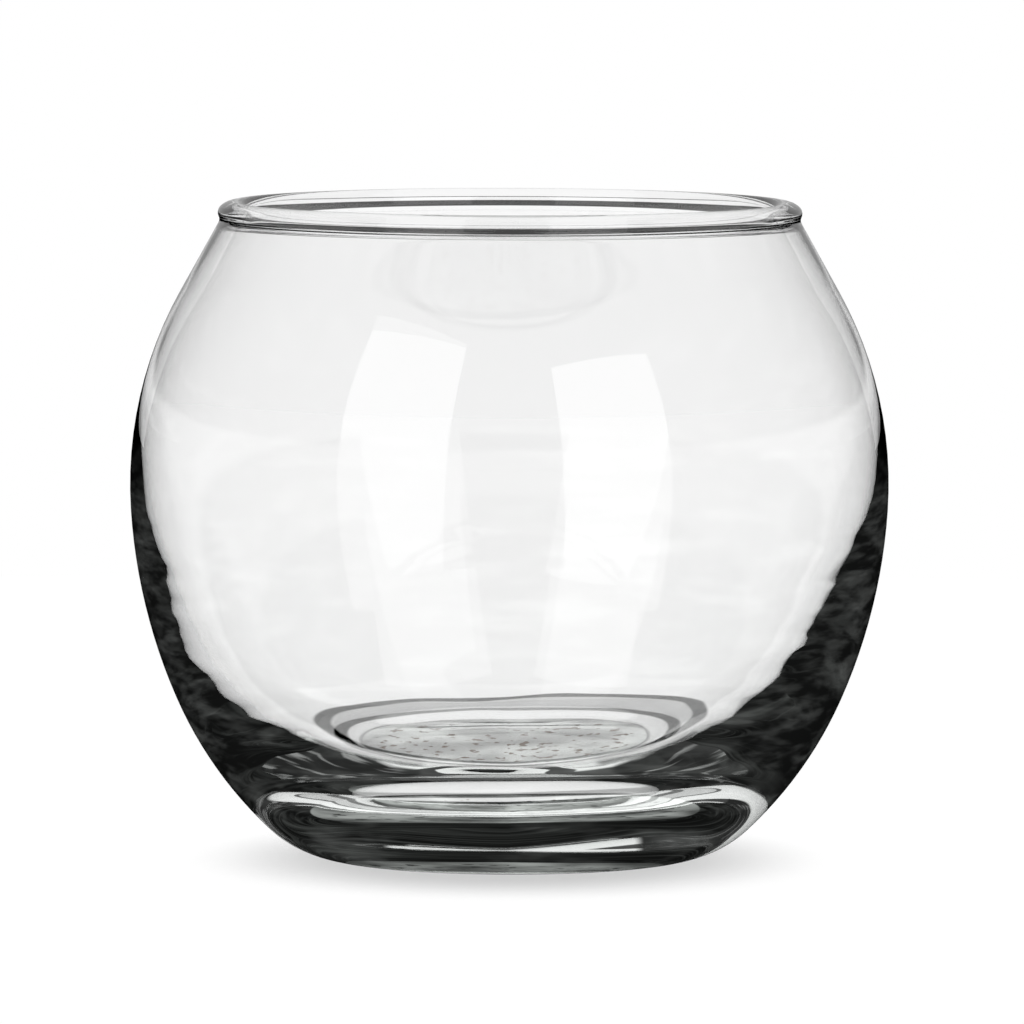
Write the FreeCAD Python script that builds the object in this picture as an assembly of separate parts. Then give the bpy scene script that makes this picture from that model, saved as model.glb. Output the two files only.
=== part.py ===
"""Rose bowl vase: one clear glass vessel with a thick base, a full belly and a rounded lip.

Millimetres and degrees, +Z up. The origin is the centre of the plane that the foot rests on.
"""
import FreeCAD, Part
import math
import os

Vector = FreeCAD.Vector

# Outer skin from the foot outwards and up: arcs that run into each other, then the straight neck
FOOT_RADIUS = 27.1
CORNER_RADIUS = 19.3
LOW_RADIUS = 66.5
BELLY_RADIUS = 93.5
SHOULDER_RADIUS = 66.5
NECK_LENGTH = 13.2
# Slope of the outer skin from level where each arc ends
CORNER_END_ANGLE = 43.2
LOW_END_ANGLE = 66.4
BELLY_END_ANGLE = 86.4
NECK_ANGLE = 119.0

# Underside: a ring that touches the table, round a shallow hollow
FOOT_RING_WIDTH = 3.0
HOLLOW_HEIGHT = 0.3

# Thickness of the glass, square to the outer skin, at the ends and middles of its arcs
CORNER_END_WALL = 13.8
LOW_MIDDLE_WALL = 8.8
LOW_END_WALL = 6.4
BELLY_MIDDLE_WALL = 4.5
BELLY_END_WALL = 2.7
SHOULDER_MIDDLE_WALL = 1.2
SHOULDER_END_WALL = 0.95
NECK_WALL = 0.85
# Floor inside the bowl, nearly flat
BASE_HEIGHT = 14.3
FLOOR_RADIUS = 20.0
FLOOR_RISE = 0.25

# Lip: a small waist, then a bead that turns over the top and down into the bowl
WAIST_RADIUS = 1.2
LIP_SIDE_RADIUS = 1.45
LIP_TOP_RADIUS = 3.3
LIP_INNER_RADIUS = 2.0
LIP_ROOT_LENGTH = 1.0
WAIST_END_ANGLE = 65.0
LIP_SIDE_END_ANGLE = 140.0
LIP_TOP_ANGLE = 180.0
LIP_INNER_END_ANGLE = 335.0


def heading(slope):
    """Unit step along a line of this slope in the half plane of radius and height."""
    turn = math.radians(slope)
    return Vector(math.cos(turn), 0, math.sin(turn))


class Skin:
    """A run of arcs and lines in the half plane, each one tangent to the last."""

    def __init__(self, radius, height, slope):
        self.place = Vector(radius, 0, height)
        self.slope = slope
        self.edges = []

    def at(self, arc_radius, slope):
        """Point of an arc that starts here, where it has come to this slope; a hollow arc's radius is minus."""
        side = heading(slope) - heading(self.slope)
        return self.place + Vector(side.z, 0, -side.x) * arc_radius

    def arc(self, arc_radius, slope):
        middle = self.at(arc_radius, (self.slope + slope) / 2)
        end = self.at(arc_radius, slope)
        self.edges.append(Part.Arc(self.place, middle, end).toShape())
        self.place, self.slope = end, slope

    def line(self, length):
        end = self.place + heading(self.slope) * length
        self.edges.append(Part.LineSegment(self.place, end).toShape())
        self.place = end

    def inside(self, thickness):
        """Point on the glass's other face, square to the skin at the place it has come to."""
        step = heading(self.slope) * thickness
        return self.place + Vector(-step.z, 0, step.x)


def curve(points, first_slope, last_slope):
    """Smooth edge through the points, with the slopes that it starts and ends on."""
    spline = Part.BSplineCurve()
    spline.interpolate(Points=points, InitialTangent=heading(first_slope), FinalTangent=heading(last_slope))
    return spline.toShape()


def outer_skin():
    """The outer skin from the foot to the top of the lip and over it, and the inner face's points."""
    skin = Skin(FOOT_RADIUS, 0, 0)
    skin.arc(CORNER_RADIUS, CORNER_END_ANGLE)
    wall = [skin.inside(CORNER_END_WALL)]
    skin.arc(LOW_RADIUS, (CORNER_END_ANGLE + LOW_END_ANGLE) / 2)
    wall.append(skin.inside(LOW_MIDDLE_WALL))
    skin.arc(LOW_RADIUS, LOW_END_ANGLE)
    wall.append(skin.inside(LOW_END_WALL))
    skin.arc(BELLY_RADIUS, (LOW_END_ANGLE + BELLY_END_ANGLE) / 2)
    wall.append(skin.inside(BELLY_MIDDLE_WALL))
    skin.arc(BELLY_RADIUS, BELLY_END_ANGLE)
    wall.append(skin.inside(BELLY_END_WALL))
    skin.arc(SHOULDER_RADIUS, (BELLY_END_ANGLE + NECK_ANGLE) / 2)
    wall.append(skin.inside(SHOULDER_MIDDLE_WALL))
    skin.arc(SHOULDER_RADIUS, NECK_ANGLE)
    wall.append(skin.inside(SHOULDER_END_WALL))
    skin.line(NECK_LENGTH - LIP_ROOT_LENGTH)
    wall.append(skin.inside(NECK_WALL))
    skin.line(LIP_ROOT_LENGTH)
    return skin, wall


def lip(skin):
    """Carries the skin through the waist, up round the bead's outside, over its top and down its inside."""
    skin.arc(-WAIST_RADIUS, WAIST_END_ANGLE)
    skin.arc(LIP_SIDE_RADIUS, LIP_SIDE_END_ANGLE)
    skin.arc(LIP_TOP_RADIUS, LIP_TOP_ANGLE)
    skin.arc(LIP_INNER_RADIUS, LIP_INNER_END_ANGLE)


def inner_skin(lip_end, wall):
    """The face that holds the water: from the bead down the wall to the middle of the floor."""
    down = NECK_ANGLE - 180
    root = curve([lip_end, wall[-1]], LIP_INNER_END_ANGLE, down)
    floor_edge = Vector(FLOOR_RADIUS, 0, BASE_HEIGHT + FLOOR_RISE)
    floor_middle = Vector(0, 0, BASE_HEIGHT)
    return [root, curve(wall[::-1] + [floor_edge, floor_middle], down, 180)]


def underside():
    """The hollow's arc from the axis out to the ring, and the ring's flat."""
    ring_inner = FOOT_RADIUS - FOOT_RING_WIDTH
    edge = Vector(ring_inner, 0, 0)
    sphere = (ring_inner ** 2 + HOLLOW_HEIGHT ** 2) / (2 * HOLLOW_HEIGHT)
    half = math.asin(ring_inner / sphere) / 2
    middle = Vector(sphere * math.sin(half), 0, HOLLOW_HEIGHT - sphere * (1 - math.cos(half)))
    hollow = Part.Arc(Vector(0, 0, HOLLOW_HEIGHT), middle, edge).toShape()
    return [hollow, Part.LineSegment(edge, Vector(FOOT_RADIUS, 0, 0)).toShape()]


def glass_bowl():
    """The whole bowl in one piece: its half section turned once round the axis."""
    skin, wall = outer_skin()
    lip(skin)
    axis = Part.LineSegment(Vector(0, 0, BASE_HEIGHT), Vector(0, 0, HOLLOW_HEIGHT)).toShape()
    edges = underside() + skin.edges + inner_skin(skin.place, wall) + [axis]
    section = Part.Face(Part.Wire(edges))
    return section.revolve(Vector(0, 0, 0), Vector(0, 0, 1), 360)


os.makedirs("parts", exist_ok=True)
glass_bowl().exportStep("parts/glass_bowl.step")
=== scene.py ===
"""Rose bowl vase in clear glass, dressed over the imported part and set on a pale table. Metres, +Z up."""
import math
import bpy
from mathutils import Matrix, Vector


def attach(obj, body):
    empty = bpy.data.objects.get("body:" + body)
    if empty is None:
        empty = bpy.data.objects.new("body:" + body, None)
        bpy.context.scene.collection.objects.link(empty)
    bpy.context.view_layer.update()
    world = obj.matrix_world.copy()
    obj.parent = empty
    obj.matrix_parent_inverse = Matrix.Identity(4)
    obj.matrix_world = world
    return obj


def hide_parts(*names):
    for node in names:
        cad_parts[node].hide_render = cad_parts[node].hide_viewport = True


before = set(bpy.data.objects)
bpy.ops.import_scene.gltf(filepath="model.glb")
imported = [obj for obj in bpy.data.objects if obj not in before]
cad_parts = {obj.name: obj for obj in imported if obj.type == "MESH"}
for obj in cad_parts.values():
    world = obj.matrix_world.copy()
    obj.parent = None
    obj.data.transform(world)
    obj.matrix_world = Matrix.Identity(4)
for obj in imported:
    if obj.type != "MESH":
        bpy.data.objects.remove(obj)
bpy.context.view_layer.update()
MM = 0.001

# ---- the bowl's half section: radii, heights and lengths in millimetres, slopes in degrees from level ----

HOLLOW_HEIGHT = 0.3
RING_INNER_RADIUS = 24.1
RING_INNER_SLOPE = -1.4
FOOT_RADIUS = 27.1
# Outer skin: the radius of each arc and the slope that it ends on, for the corner, low wall, belly and shoulder
SKIN_ARCS = [(19.3, 43.2), (66.5, 66.4), (93.5, 86.4), (66.5, 119.0)]
NECK_LENGTH = 13.2
# Lip: the hollow waist, then the bead's side and top, and its inside in two arcs
LIP_ARCS = [(-1.2, 65.0), (1.45, 140.0), (3.3, 180.0), (2.0, 255.0), (2.0, 335.0)]
# Inner wall from the neck down to the middle of the floor: radius, height and slope at each knot
INNER_WALL = [
    (47.93, 106.35, 299.0), (54.33, 94.6, 296.9), (60.7, 77.18, 280.6), (60.67, 58.82, 260.8),
    (56.55, 43.59, 249.8), (49.86, 29.65, 237.6), (41.94, 20.45, 218.7), (30.87, 15.29, 191.1),
    (20.0, 14.55, 180.8), (0.0, 14.3, 180.0)]
# Fineness of the mesh
CURVE_STEPS = 12
SPIN_STEPS = 312
WELD = 0.005


class Section:
    """A half section drawn with a curve's knots and handles, each stretch carrying on from the last."""

    def __init__(self, radius, height):
        self.place, self.slope = Vector((radius, height)), 0.0
        self.knots = [[self.place.copy(), self.place.copy(), self.place.copy()]]

    def stretch(self, end, out_handle, in_handle):
        """Adds a knot, and sets the handles between the last knot and this one."""
        self.knots[-1][2] = out_handle
        self.knots.append([in_handle, end.copy(), end.copy()])
        self.place = end.copy()

    def line(self, radius, height):
        """A straight stretch to this place."""
        end = Vector((radius, height))
        third = (end - self.place) / 3
        self.stretch(end, self.place + third, end - third)

    def onward(self, length):
        """A straight stretch of this length along the present slope."""
        end = self.place + self.heading(self.slope) * length
        self.line(end.x, end.y)

    def heading(self, slope):
        """Unit step along a line of this slope."""
        return Vector((math.cos(math.radians(slope)), math.sin(math.radians(slope))))

    def arc(self, radius, slope):
        """An arc of this radius until the line has this slope; a hollow one has a radius below nothing."""
        a, b = self.heading(self.slope), self.heading(slope)
        end = self.place + Vector((b.y - a.y, a.x - b.x)) * radius
        reach = 4 / 3 * math.tan(math.radians(slope - self.slope) / 4) * radius
        self.stretch(end, self.place + a * reach, end - b * reach)
        self.slope = slope

    def bend_to(self, radius, height, slope):
        """A smooth stretch to this place, where the line has this slope."""
        end = Vector((radius, height))
        third = (end - self.place).length / 3
        self.stretch(end, self.place + self.heading(self.slope) * third, end - self.heading(slope) * third)
        self.slope = slope


def bowl_section():
    """From the axis under the base, out over the foot, up the belly, over the lip and down the inside."""
    section = Section(0.0, HOLLOW_HEIGHT)
    section.bend_to(RING_INNER_RADIUS, 0.0, RING_INNER_SLOPE)
    section.line(FOOT_RADIUS, 0.0)
    section.slope = 0.0
    for radius, slope in SKIN_ARCS:
        section.arc(radius, slope)
    section.onward(NECK_LENGTH)
    for radius, slope in LIP_ARCS:
        section.arc(radius, slope)
    for radius, height, slope in INNER_WALL:
        section.bend_to(radius, height, slope)
    return section.knots


def draw_curve(name, knots):
    """The section as a curve object in the plane of X and Z, then made a mesh of edges."""
    bpy.ops.object.select_all(action="DESELECT")
    bpy.ops.curve.primitive_bezier_curve_add(location=(0, 0, 0))
    outline = bpy.context.object
    outline.name = outline.data.name = name
    outline.data.resolution_u = CURVE_STEPS
    spline = outline.data.splines[0]
    spline.bezier_points.add(len(knots) - len(spline.bezier_points))
    for point, (back, place, ahead) in zip(spline.bezier_points, knots):
        point.handle_left_type = point.handle_right_type = "FREE"
        point.co = (place.x * MM, 0, place.y * MM)
        point.handle_left = (back.x * MM, 0, back.y * MM)
        point.handle_right = (ahead.x * MM, 0, ahead.y * MM)
    bpy.ops.object.convert(target="MESH")
    return bpy.context.object


def spin_bowl(name, knots):
    """Spins the section once round the axis and closes its seam and poles."""
    bowl = draw_curve(name, knots)
    bpy.ops.object.mode_set(mode="EDIT")
    bpy.ops.mesh.select_all(action="SELECT")
    bpy.ops.mesh.spin(steps=SPIN_STEPS, angle=2 * math.pi, center=(0, 0, 0), axis=(0, 0, 1))
    bpy.ops.mesh.select_all(action="SELECT")
    bpy.ops.mesh.remove_doubles(threshold=WELD * MM)
    bpy.ops.mesh.normals_make_consistent(inside=False)
    bpy.ops.object.mode_set(mode="OBJECT")
    bpy.ops.object.shade_smooth()
    return bowl


# ---- the unevenness of hand work, in millimetres ----

# Nothing at or above this height is moved
UNEVEN_TOP = 64
# Thicker wall: where it sets in from left to right, where it fades upwards, and by how much
THICK_SIDE = (0.0, 60.0)
THICK_FADE = (16.0, 64.0)
THICKER = 1.3
# Sloping floor: its rise over a length to the right of the axis, and where it fades upwards
SLOPE_RISE = 2.4
SLOPE_LENGTH = 100
SLOPE_FADE = (15.0, 60.0)
# Ripples: where they set in outwards, where they fade upwards, where they reach their full depth to the right,
# their share of it on the left, how deep they are from top to bottom, and the size of one
RIPPLE_START = (34.0, 42.0)
RIPPLE_FADE = (56.0, 63.0)
RIPPLE_SIDE = (20.0, 50.0)
RIPPLE_LEFT = 0.5
RIPPLE_DEPTH = 0.08
RIPPLE_MIDDLE = 0.5
RIPPLE_CELL = (16 * MM, 16 * MM, 2.2 * MM)


def rise(value, low, high):
    """0 below low, 1 above high, smooth between."""
    part = min(max((value - low) / (high - low), 0.0), 1.0)
    return part * part * (3 - 2 * part)


def thick_weight(x, y, z):
    """More of it to the right and low down."""
    return rise(x, *THICK_SIDE) * (1 - rise(z, *THICK_FADE))


def slope_weight(x, y, z):
    """Grows to the right of the axis, less up the wall; a weight stops at 0, so the left stays as it is."""
    return x / SLOPE_LENGTH * (1 - rise(z, *SLOPE_FADE))


def ripple_weight(x, y, z):
    """On the lower wall all round, and twice as deep at the right."""
    low_wall = rise(math.hypot(x, y), *RIPPLE_START) * (1 - rise(z, *RIPPLE_FADE))
    return low_wall * (RIPPLE_LEFT + (1 - RIPPLE_LEFT) * rise(x, *RIPPLE_SIDE))


def weigh(bowl, name, weight):
    """A vertex group over the cavity's lower half, where its face looks up."""
    group = bowl.vertex_groups.new(name=name)
    for vertex in bowl.data.vertices:
        if vertex.normal.z > 0 and vertex.co.z < UNEVEN_TOP * MM:
            group.add([vertex.index], weight(*(vertex.co / MM)), "REPLACE")


def push(bowl, group, direction, strength, middle=0.0, texture=None, cell=None):
    """Displaces a vertex group, evenly or by a texture."""
    bpy.context.view_layer.objects.active = bowl
    bpy.ops.object.modifier_add(type="DISPLACE")
    shove = bowl.modifiers[-1]
    shove.vertex_group, shove.direction = group, direction
    shove.strength, shove.mid_level = strength * MM, middle
    if texture:
        shove.texture, shove.texture_coords, shove.texture_coords_object = texture, "OBJECT", cell
    bpy.ops.object.modifier_apply(modifier=shove.name)


def make_uneven(bowl):
    """The wall is thicker low on the right, the floor slopes a little, and the lower wall is rippled."""
    weigh(bowl, "right", thick_weight)
    weigh(bowl, "slope", slope_weight)
    weigh(bowl, "ripple", ripple_weight)
    push(bowl, "right", "X", -THICKER)
    push(bowl, "slope", "Z", SLOPE_RISE)
    streaks = bpy.data.textures.new("streaks", "CLOUDS")
    streaks.noise_scale, streaks.noise_depth = 1.0, 1
    bpy.ops.object.empty_add(location=(0, 0, 0))
    cell = bpy.context.object
    cell.scale = RIPPLE_CELL
    bpy.context.view_layer.update()
    push(bowl, "ripple", "NORMAL", RIPPLE_DEPTH, RIPPLE_MIDDLE, streaks, cell)
    bpy.data.objects.remove(cell)


# ---- shader maths ----

class Value:
    """A socket that takes part in sums."""

    def __init__(self, shader, socket):
        self.shader, self.socket = shader, socket

    def sum(self, operation, first, second):
        return self.shader.add("ShaderNodeMath", {"operation": operation}, {0: first, 1: second})

    def __add__(self, other):
        return self.sum("ADD", self, other)

    def __radd__(self, other):
        return self.sum("ADD", other, self)

    def __sub__(self, other):
        return self.sum("SUBTRACT", self, other)

    def __rsub__(self, other):
        return self.sum("SUBTRACT", other, self)

    def __mul__(self, other):
        return self.sum("MULTIPLY", self, other)

    def __rmul__(self, other):
        return self.sum("MULTIPLY", other, self)

    def rise(self, low, high):
        """0 below low, 1 above high, smooth between."""
        settings = {"interpolation_type": "SMOOTHSTEP"}
        return self.shader.add("ShaderNodeMapRange", settings, {0: self, 1: low, 2: high})

    def between(self, low, high, soft):
        """1 from low to high, 0 outside, with edges of this softness."""
        return self.rise(low - soft, low + soft) * (1 - self.rise(high - soft, high + soft))


class Shader:
    """A node tree, cleared and ready to be filled."""

    def __init__(self, owner):
        owner.use_nodes = True
        self.tree = owner.node_tree
        self.tree.nodes.clear()

    def add(self, kind, settings=None, inputs=None, output=0):
        """Any node by its type, its settings and its inputs; gives one of its outputs."""
        node = self.tree.nodes.new(kind)
        for key, setting in (settings or {}).items():
            setattr(node, key, setting)
        for key, given in (inputs or {}).items():
            if isinstance(given, Value):
                self.tree.links.new(given.socket, node.inputs[key])
            else:
                node.inputs[key].default_value = given
        return Value(self, node.outputs[output]) if node.outputs else node

    def split(self, vector):
        """The three parts of a vector."""
        node = self.tree.nodes.new("ShaderNodeSeparateXYZ")
        self.tree.links.new(vector.socket, node.inputs[0])
        return [Value(self, out) for out in node.outputs]

    def on_object(self):
        """The place on the object, in metres."""
        return self.add("ShaderNodeTexCoord", output=OBJECT_OUTPUT)

    def join(self, x, y, z):
        """A vector of three parts."""
        return self.add("ShaderNodeCombineXYZ", None, {0: x, 1: y, 2: z})

    def colour(self, red, green, blue):
        """A colour of three parts."""
        return self.add("ShaderNodeCombineColor", None, {0: red, 1: green, 2: blue})

    def distance(self, x, y, middle=(0, 0)):
        """How far a place on the table's plane is from a point."""
        off_x, off_y = x - middle[0], y - middle[1]
        return self.add("ShaderNodeMath", {"operation": "SQRT"}, {0: off_x * off_x + off_y * off_y})


# Output of the coordinate node that follows the object
OBJECT_OUTPUT = 3
WHITE = (1, 1, 1, 1)


# ---- the glass, with its places in metres ----

IOR = 1.5
CLEAR = 0.98
BODY_TONE = (0.80, 0.86, 0.82, 1)
BODY_DENSITY = 4.0
# Underside: its top edge, and how far the painted glow and the flecks reach outwards
SOLE_TOP = (0.0004, 0.0006)
UNDERSIDE_GLOW_EDGE = (0.0266, 0.0270)
FLECK_EDGE = (0.0235, 0.0245)
# Flecks: how fine they are, how much of the noise they take, and how much darker each colour is in them
FLECK_SCALE, FLECK_DETAIL = 420.0, 2.0
FLECK_SHARE = (0.58, 0.64)
FLECK_DARKER = (0.74, 0.84, 0.89)
FLECK_SHADE = 0.8
# Glow: the noise's steps for each metre, along X and Y and along Z, and how fine it is within a step
STREAK_STEPS, STREAK_STEPS_UP, STREAK_DETAIL = 60, 300, 3.0
# Painted glow of the streaks in the wall, standing for light in the thick wall: least, added, share of the
# noise, and where it fades upwards
STREAK_LEAST, STREAK_ADDED = 0.001, 0.026
STREAK_SHARE = (0.52, 0.72)
STREAK_FADE = (0.055, 0.072)
# Painted highlight glow on the underside: least, added and share of the noise
UNDERSIDE_GLOW_LEAST, UNDERSIDE_GLOW_ADDED = 0.06, 0.30
UNDERSIDE_GLOW_SHARE = (0.38, 0.66)
GLOW_RED, GLOW_BLUE = 0.96, 0.97


def glass_material():
    """Clear glass; a faint streaky painted glow stands for the light that wanders in the thick wall, and a
    painted glow on the underside for its highlights.
    """
    glass = bpy.data.materials.new("clear_glass")
    shader = Shader(glass)
    x, y, z = shader.split(shader.on_object())
    place = shader.join(x * STREAK_STEPS, y * STREAK_STEPS, z * STREAK_STEPS_UP)
    noise = shader.add("ShaderNodeTexNoise", None, {"Vector": place, "Scale": 1.0, "Detail": STREAK_DETAIL})
    reach = shader.distance(x, y)
    low = 1 - z.rise(*SOLE_TOP)
    sole = low * (1 - reach.rise(*UNDERSIDE_GLOW_EDGE))
    grain = shader.add("ShaderNodeTexNoise", None, {
        "Vector": shader.on_object(), "Scale": FLECK_SCALE, "Detail": FLECK_DETAIL})
    fleck = grain.rise(*FLECK_SHARE) * (low * (1 - reach.rise(*FLECK_EDGE)))
    stain = shader.colour(*[CLEAR - darker * fleck for darker in FLECK_DARKER])
    # Painted light: a streaky glow in the lower wall
    streaks = (STREAK_LEAST + STREAK_ADDED * noise.rise(*STREAK_SHARE)) * (1 - z.rise(*STREAK_FADE))
    # Painted highlight: the underside glows, less where the flecks are
    painted_underside_glow = (UNDERSIDE_GLOW_LEAST + UNDERSIDE_GLOW_ADDED * noise.rise(*UNDERSIDE_GLOW_SHARE)) * sole * (1 - FLECK_SHADE * fleck)
    glow = streaks + painted_underside_glow
    clear = shader.add("ShaderNodeBsdfPrincipled", None, {
        "Base Color": stain, "Roughness": 0.0, "IOR": IOR, "Transmission Weight": 1.0,
        "Emission Color": shader.colour(glow * GLOW_RED, glow, glow * GLOW_BLUE), "Emission Strength": 1.0})
    body = shader.add("ShaderNodeVolumeAbsorption", None, {"Color": BODY_TONE, "Density": BODY_DENSITY})
    shader.add("ShaderNodeOutputMaterial", None, {"Surface": clear, "Volume": body})
    return glass


# ---- the table and what lies on it, with places in metres ----

TABLE_RADIUS = 0.6
TABLE_HEIGHT = -0.06 * MM
UNDER_RADIUS = 0.064
UNDER_HEIGHT = -0.03 * MM
SHEET_SIDES = 96
PAPER_TONE = (0.2, 0.2, 0.2, 1)
PAPER_ROUGHNESS = 0.9
# The table's light close to the foot, where a painted shadow lies, what is added further out, where, and how the
# painted shadow is drawn out
TABLE_NEAR, TABLE_ADDED = 0.56, 0.42
TABLE_SHADE = (0.025, 0.056)
TABLE_STRETCH = 0.78
# Painted light and shade of the sheet: light of the disc under the foot, then what each step outwards adds or
# takes, and where the step is
DISC_LIGHT = 0.40
FOOT_ADDED, FOOT_EDGE = 0.50, (0.0272, 0.0280)
SHADE_TAKEN, SHADE_EDGE = 0.26, (0.0305, 0.0312)
OPEN_ADDED, OPEN_EDGE = 0.30, (0.0390, 0.0400)
# Two rings of painted shadow: the middle, what they take, and from where to where, with the softness of the
# edges
INNER_MIDDLE, INNER_SHADOW_TAKEN, INNER_SHADOW_RING = (0.001, 0.006), 0.48, (0.0312, 0.0345, 0.0004)
OUTER_MIDDLE, OUTER_SHADOW_TAKEN, OUTER_SHADOW_RING = (0.002, 0.018), 0.50, (0.0360, 0.0397, 0.0005)


def table_light(shader, x, y):
    """White, with a painted shadow round the foot."""
    return TABLE_NEAR + TABLE_ADDED * shader.distance(x, y * TABLE_STRETCH).rise(*TABLE_SHADE)


def painted_foot_shading(shader, x, y):
    """Painted light and shade that shows through the base: a pale disc, a bright line, two dark rings of painted
    shadow, then the open table.
    """
    reach = shader.distance(x, y)
    outer, inner = shader.distance(x, y, OUTER_MIDDLE), shader.distance(x, y, INNER_MIDDLE)
    light = DISC_LIGHT + FOOT_ADDED * reach.rise(*FOOT_EDGE) - SHADE_TAKEN * inner.rise(*SHADE_EDGE)
    light = light + OPEN_ADDED * outer.rise(*OPEN_EDGE)
    return light - INNER_SHADOW_TAKEN * inner.between(*INNER_SHADOW_RING) - OUTER_SHADOW_TAKEN * outer.between(*OUTER_SHADOW_RING)


def lit_paper(name, light_at):
    """Paper lit from within by an amount that depends on the place."""
    paper = bpy.data.materials.new(name)
    shader = Shader(paper)
    x, y, z = shader.split(shader.on_object())
    light = light_at(shader, x, y)
    face = shader.add("ShaderNodeBsdfPrincipled", None, {
        "Base Color": PAPER_TONE, "Roughness": PAPER_ROUGHNESS, "Specular IOR Level": 0.0,
        "Emission Color": shader.colour(light, light, light), "Emission Strength": 1.0})
    shader.add("ShaderNodeOutputMaterial", None, {"Surface": face})
    return paper


def sheet(name, radius, height, light_at):
    """A round sheet of paper on the table's plane."""
    bpy.ops.object.select_all(action="DESELECT")
    bpy.ops.mesh.primitive_circle_add(
        vertices=SHEET_SIDES, radius=radius, fill_type="NGON", location=(0, 0, height))
    paper = bpy.context.object
    paper.name = paper.data.name = name
    paper.data.materials.append(lit_paper(name, light_at))
    paper.visible_glossy = False
    return paper


def tables():
    """The table with a painted shadow, and on it a sheet of painted light and shade that is seen only through
    the glass.
    """
    sheet("table", TABLE_RADIUS, TABLE_HEIGHT, table_light)
    # Painted shade under the foot: dark rings of painted shadow round a painted pale disc, seen only through the
    # glass
    under = sheet("painted_shade_under_foot", UNDER_RADIUS, UNDER_HEIGHT, painted_foot_shading)
    under.visible_camera = under.visible_diffuse = under.visible_shadow = False


# ---- the studio: heights in degrees from level, places to the side as the sine of the turn from ahead ----

BAND_SIDE, BAND_FRONT = (0.36, 0.40), (-0.02, 0.02)
BAND_TOP, BAND_FOOT = (56.0, 64.0), (-10.0, -7.0)
# A dark stretch low in the band, and the low ring of light all round: from, to and softness
DARK_SHARE, DARK_STRETCH = 0.95, (1.0, 22.0, 1.5)
RING_STRETCH = (-9.0, 1.0, 1.5)
BRIGHT = 0.98
ABOVE, ABOVE_LIGHT = (69.0, 81.0), 0.35
# Dim streaks at the sides: noise steps and detail, least light, light added, share of the noise, how far aside
DIM_STEPS, DIM_STEPS_UP, DIM_DETAIL = 4.0, 14.0, 2.0
DIM_LEAST, DIM_ADDED = 0.02, 0.30
DIM_SHARE, DIM_SIDE = (0.50, 0.66), (0.42, 0.50)
# Soft boxes: how far off they are in metres, then turn, height, half width, half height and strength
BOX_FAR = 3.0
SOFT_BOXES = {
    "left_box": (-36.0, 10.0, 17.0, 34.8, 1.2),
    "right_box": (33.0, 7.0, 16.8, 31.9, 1.2),
    "left_low_box": (-26.5, -29.0, 16.0, 12.0, 1.0),
    "right_low_box": (27.0, -29.0, 14.0, 12.0, 1.0),
    "back_board": (180.0, 31.0, 35.0, 31.0, 0.5)}
BACKDROP_RADIUS = 4.0
BACKDROP_SIDES = 64
BACKDROP_LIGHT = 1.0


def studio_light():
    """A bright band behind that arches overhead, a dim light above, and dim streaks in the dark at the sides."""
    world = bpy.data.worlds.new("studio")
    bpy.context.scene.world = world
    world.cycles_visibility.glossy = False
    shader = Shader(world)
    x, y, z = shader.split(shader.add("ShaderNodeTexCoord"))
    up = shader.add("ShaderNodeMath", {"operation": "ARCSINE"}, {0: z}) * math.degrees(1)
    aside = shader.add("ShaderNodeMath", {"operation": "ABSOLUTE"}, {0: x})
    band = (1 - aside.rise(*BAND_SIDE)) * y.rise(*BAND_FRONT) * (1 - up.rise(*BAND_TOP)) * up.rise(*BAND_FOOT)
    band = band * (1 - DARK_SHARE * up.between(*DARK_STRETCH))
    ring = up.between(*RING_STRETCH) * (1 - band)
    place = shader.join(x * DIM_STEPS, y * DIM_STEPS, z * DIM_STEPS_UP)
    streak = shader.add("ShaderNodeTexNoise", None, {"Vector": place, "Scale": 1.0, "Detail": DIM_DETAIL})
    dim = DIM_LEAST + DIM_ADDED * streak.rise(*DIM_SHARE) * aside.rise(*DIM_SIDE)
    light = dim + (band + ring) * BRIGHT + up.rise(*ABOVE) * ABOVE_LIGHT
    sky = shader.add("ShaderNodeBackground", None, {"Color": WHITE, "Strength": light})
    shader.add("ShaderNodeOutputWorld", None, {"Surface": sky})


def glowing(name, strength):
    """Cloth that gives off an even white light."""
    cloth = bpy.data.materials.new(name)
    shader = Shader(cloth)
    glow = shader.add("ShaderNodeEmission", None, {"Color": WHITE, "Strength": strength})
    shader.add("ShaderNodeOutputMaterial", None, {"Surface": glow})
    return cloth


def soft_box(name, turn, high, half_wide, half_high, strength):
    """A lit board turned to face the bowl; angles from the bowl in degrees, the turn from the front."""
    turn, high = math.radians(turn), math.radians(high)
    ahead = Vector((math.sin(turn) * math.cos(high), -math.cos(turn) * math.cos(high), math.sin(high)))
    bpy.ops.object.select_all(action="DESELECT")
    bpy.ops.mesh.primitive_plane_add(size=2, location=ahead * BOX_FAR, rotation=(math.pi / 2 - high, 0, turn))
    board = bpy.context.object
    board.name = board.data.name = name
    board.scale = (
        BOX_FAR * math.tan(math.radians(half_wide)), BOX_FAR * math.tan(math.radians(half_high)), 1)
    board.data.materials.append(glowing(name, strength))
    board.visible_camera = False
    board.visible_diffuse = False
    return board


def soft_boxes():
    """All the boards; the one behind lights the bowl's edges and isn't seen through the glass."""
    boards = {name: soft_box(name, *setting) for name, setting in SOFT_BOXES.items()}
    boards["back_board"].visible_transmission = False


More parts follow.
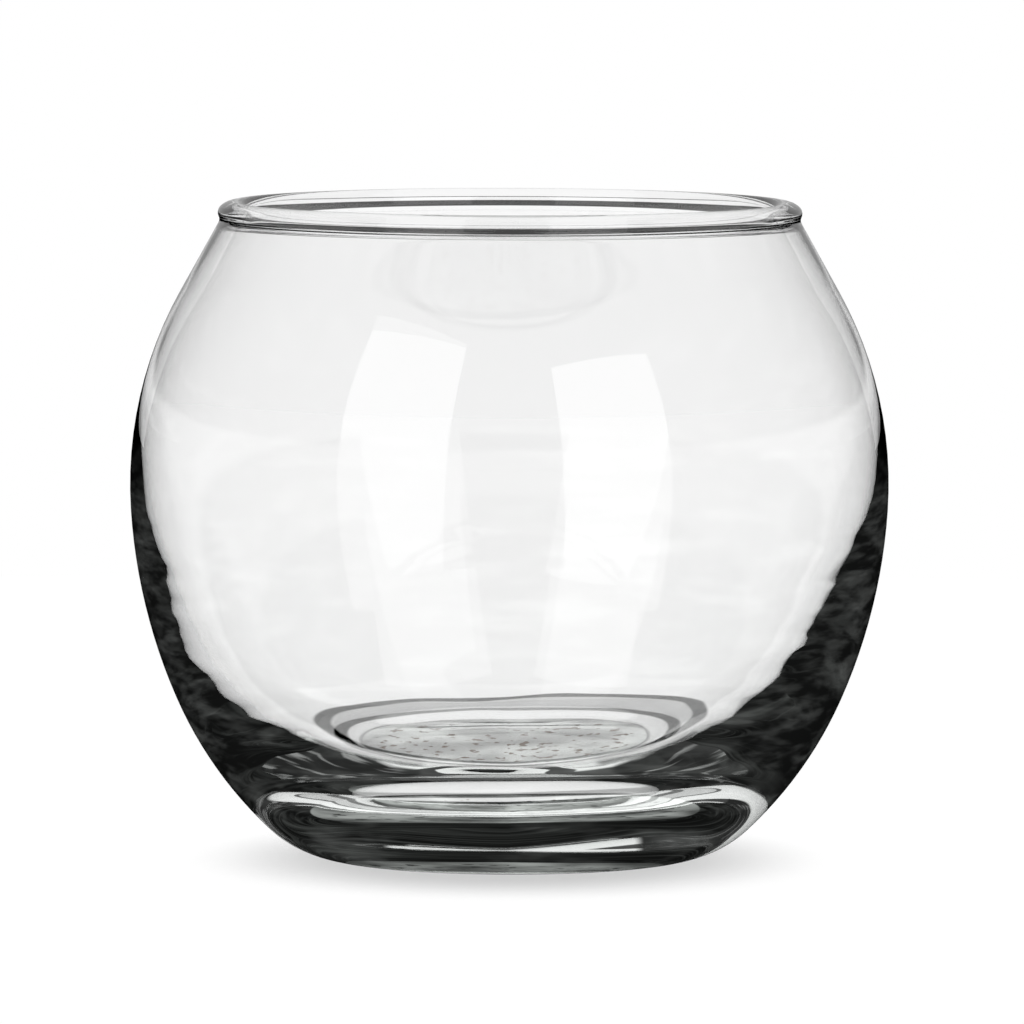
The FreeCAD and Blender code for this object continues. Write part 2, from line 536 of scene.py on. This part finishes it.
def backdrop():
    """A white studio all round that only the camera sees, so that every view has the same pale ground."""
    bpy.ops.object.select_all(action="DESELECT")
    bpy.ops.mesh.primitive_uv_sphere_add(
        segments=BACKDROP_SIDES, ring_count=BACKDROP_SIDES // 2, radius=BACKDROP_RADIUS, location=(0, 0, 0))
    room = bpy.context.object
    room.name = room.data.name = "backdrop"
    room.data.materials.append(glowing("backdrop", BACKDROP_LIGHT))
    room.visible_glossy = room.visible_transmission = False
    room.visible_diffuse = room.visible_shadow = False


# ---- the camera: in pixels of the picture, each one so long at the bowl's axis ----

PICTURE = 1024
PIXEL = 0.1675 * MM
CAMERA_FAR = 12560
CAMERA_TILT = 4.33
CAMERA_ROLL = 0.15
AIM_HEIGHT = 330
AIM_UP, AIM_ASIDE = 17, 2.7
SENSOR = 36
CLIP_NEAR, CLIP_FAR = 0.05, 50


def camera():
    """Far off with a long lens, looking down a little, as the photograph does."""
    tilt = math.radians(CAMERA_TILT)
    bpy.ops.object.camera_add()
    eye = bpy.context.object
    bpy.context.scene.camera = eye
    eye.data.sensor_width = SENSOR
    eye.data.lens = SENSOR * CAMERA_FAR / PICTURE
    eye.data.clip_start, eye.data.clip_end = CLIP_NEAR, CLIP_FAR
    back, above = CAMERA_FAR * PIXEL * math.cos(tilt), CAMERA_FAR * PIXEL * math.sin(tilt)
    eye.location = (0, -back, AIM_HEIGHT * PIXEL + above)
    down, aside = tilt - AIM_UP / CAMERA_FAR, AIM_ASIDE / CAMERA_FAR
    ahead = Vector((math.sin(aside) * math.cos(down), math.cos(aside) * math.cos(down), -math.sin(down)))
    roll = Matrix.Rotation(math.radians(CAMERA_ROLL), 3, "Z").to_quaternion()
    eye.rotation_euler = (ahead.to_track_quat("-Z", "Y") @ roll).to_euler()


bowl = spin_bowl("rose_bowl", bowl_section())
make_uneven(bowl)
bowl.data.materials.append(glass_material())
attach(bowl, "root")
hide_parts("glass_bowl")
tables()
backdrop()
studio_light()
soft_boxes()
camera()
bpy.context.scene.view_settings.view_transform = "Standard"
